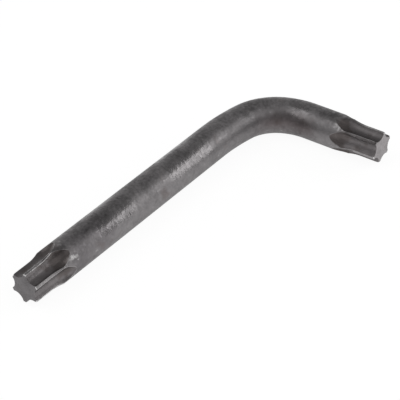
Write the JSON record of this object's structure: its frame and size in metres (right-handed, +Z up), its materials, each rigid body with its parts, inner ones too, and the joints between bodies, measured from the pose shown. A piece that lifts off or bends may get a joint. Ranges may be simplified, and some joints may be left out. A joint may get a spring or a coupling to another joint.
{
  "type": "star key",
  "caption": "L-shaped key of blackened round steel bar, with a fluted six-lobe star pressed into each end, for turning screws with a star recess.",
  "frame": {"origin": "on the surface the key lies on, in the middle of its footprint", "axes": "+X along the long arm towards the bend, short arm along -Y, +Z up from the surface"},
  "size_m": [0.106, 0.044, 0.01],
  "materials": {
    "blackened_steel": "satin black oxide, mottled, with a fine grain"
  },
  "bodies": {
    "root": {"long_star_tip": "blackened_steel", "long_arm": "blackened_steel", "bend_lead_in": "blackened_steel", "bend": "blackened_steel", "bend_lead_out": "blackened_steel", "short_arm": "blackened_steel", "short_star_tip": "blackened_steel"}
  },
  "joints": []
}
